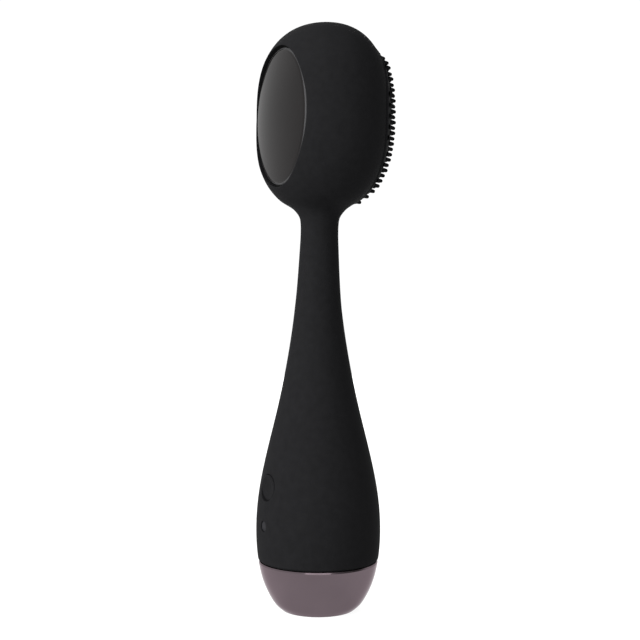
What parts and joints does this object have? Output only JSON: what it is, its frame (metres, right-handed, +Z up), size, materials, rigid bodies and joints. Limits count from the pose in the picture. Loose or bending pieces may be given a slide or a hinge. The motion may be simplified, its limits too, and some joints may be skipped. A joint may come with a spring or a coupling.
{
  "type": "facial skin scrubber",
  "caption": "Handheld facial scrubber: silicone bristle brush on one side of an oval head, a polished massage stone on the other, club-shaped grip with a screw-on metal end cap.",
  "frame": {"origin": "centre of the flat foot of the end cap, which the scrubber stands on", "axes": "+Z up along the grip towards the head; +Y out of the massage stone and the button; the bristles point along -Y"},
  "size_m": [0.047, 0.0424, 0.18],
  "materials": {
    "silicone": "soft matt silicone",
    "bristle": "soft matt silicone",
    "stone": "polished, translucent smoky grey",
    "seal": "matt rubber",
    "cap_metal": "glossy warm gunmetal plating",
    "shell": "fine satin grain",
    "insert": "satin",
    "steel": "satin",
    "brass": "satin",
    "copper": "enamelled copper wire",
    "magnet": "sintered, matt",
    "film": "amber film",
    "spreader": "rolled",
    "foam": "closed-cell foam",
    "board": "solder mask",
    "chip": "moulded epoxy",
    "ceramic": "fired ceramic",
    "lamp": "clear moulded",
    "lens": "smoked, translucent",
    "cell": "gloss sleeve",
    "wire_red": "wire sleeve",
    "wire_white": "wire sleeve"
  },
  "bodies": {
    "handle": {"silicone_skin": "silicone", "brush_pad": "bristle", "massage_stone": "stone", "stone_gasket": "seal", "heater_film": "film", "heat_spreader": "spreader", "stone_foam": "foam", "heat_sensor": "ceramic", "shell_stone_half": "shell", "shell_brush_half": "shell", "shell_screws": "steel", "motor_can": "steel", "motor_bush": "brass", "motor_end_bell": "insert", "motor_magnets": "magnet", "motor_sleeve": "seal", "motor_brushes": "copper", "motor_terminals": "brass", "battery_cell_left": "cell", "battery_cell_right": "cell", "battery_holder": "insert", "battery_stop": "insert", "battery_contacts": "steel", "control_board": "board", "controller_chip": "chip", "board_components": "ceramic", "status_lamp": "lamp", "indicator_lens": "lens", "switch_body": "chip", "board_screws": "steel", "thread_collar": "insert", "motor_leads": "wire_red", "heater_leads": "wire_white"},
    "button": {"button_pad": "silicone", "button_key": "insert", "switch_plunger": "lamp"},
    "motor_rotor": {"motor_shaft": "steel", "motor_armature": "steel", "motor_windings": "copper", "commutator": "copper", "eccentric_weight": "brass"},
    "contact_slide": {"contact_carrier": "insert", "bridge_contact": "steel"},
    "screw_cap": {"end_cap": "cap_metal", "cap_insert": "insert", "seal_ring": "seal"}
  },
  "joints": [
    {"name": "button_press", "type": "slide", "parent": "handle", "child": "button", "axis": [0, -1, 0], "range_m": [0, 0.0004], "stiffness_N_per_m": 1500},
    {"name": "rotor_spin", "type": "hinge", "parent": "handle", "child": "motor_rotor", "pos_m": [0, -0.0035, 0.132], "axis": [0, 0, 1], "continuous": true},
    {"name": "cap_travel", "type": "slide", "parent": "handle", "child": "contact_slide", "axis": [0, 0, -1], "range_m": [0, 0.012]},
    {"name": "cap_twist", "type": "hinge", "parent": "contact_slide", "child": "screw_cap", "pos_m": [0, 0, 0], "axis": [0, 0, -1], "range_deg": [0, 360]}
  ],
  "couplings": [
    {"joint": "cap_travel", "follows": "cap_twist", "m_per_rad": 0.0019099}
  ]
}
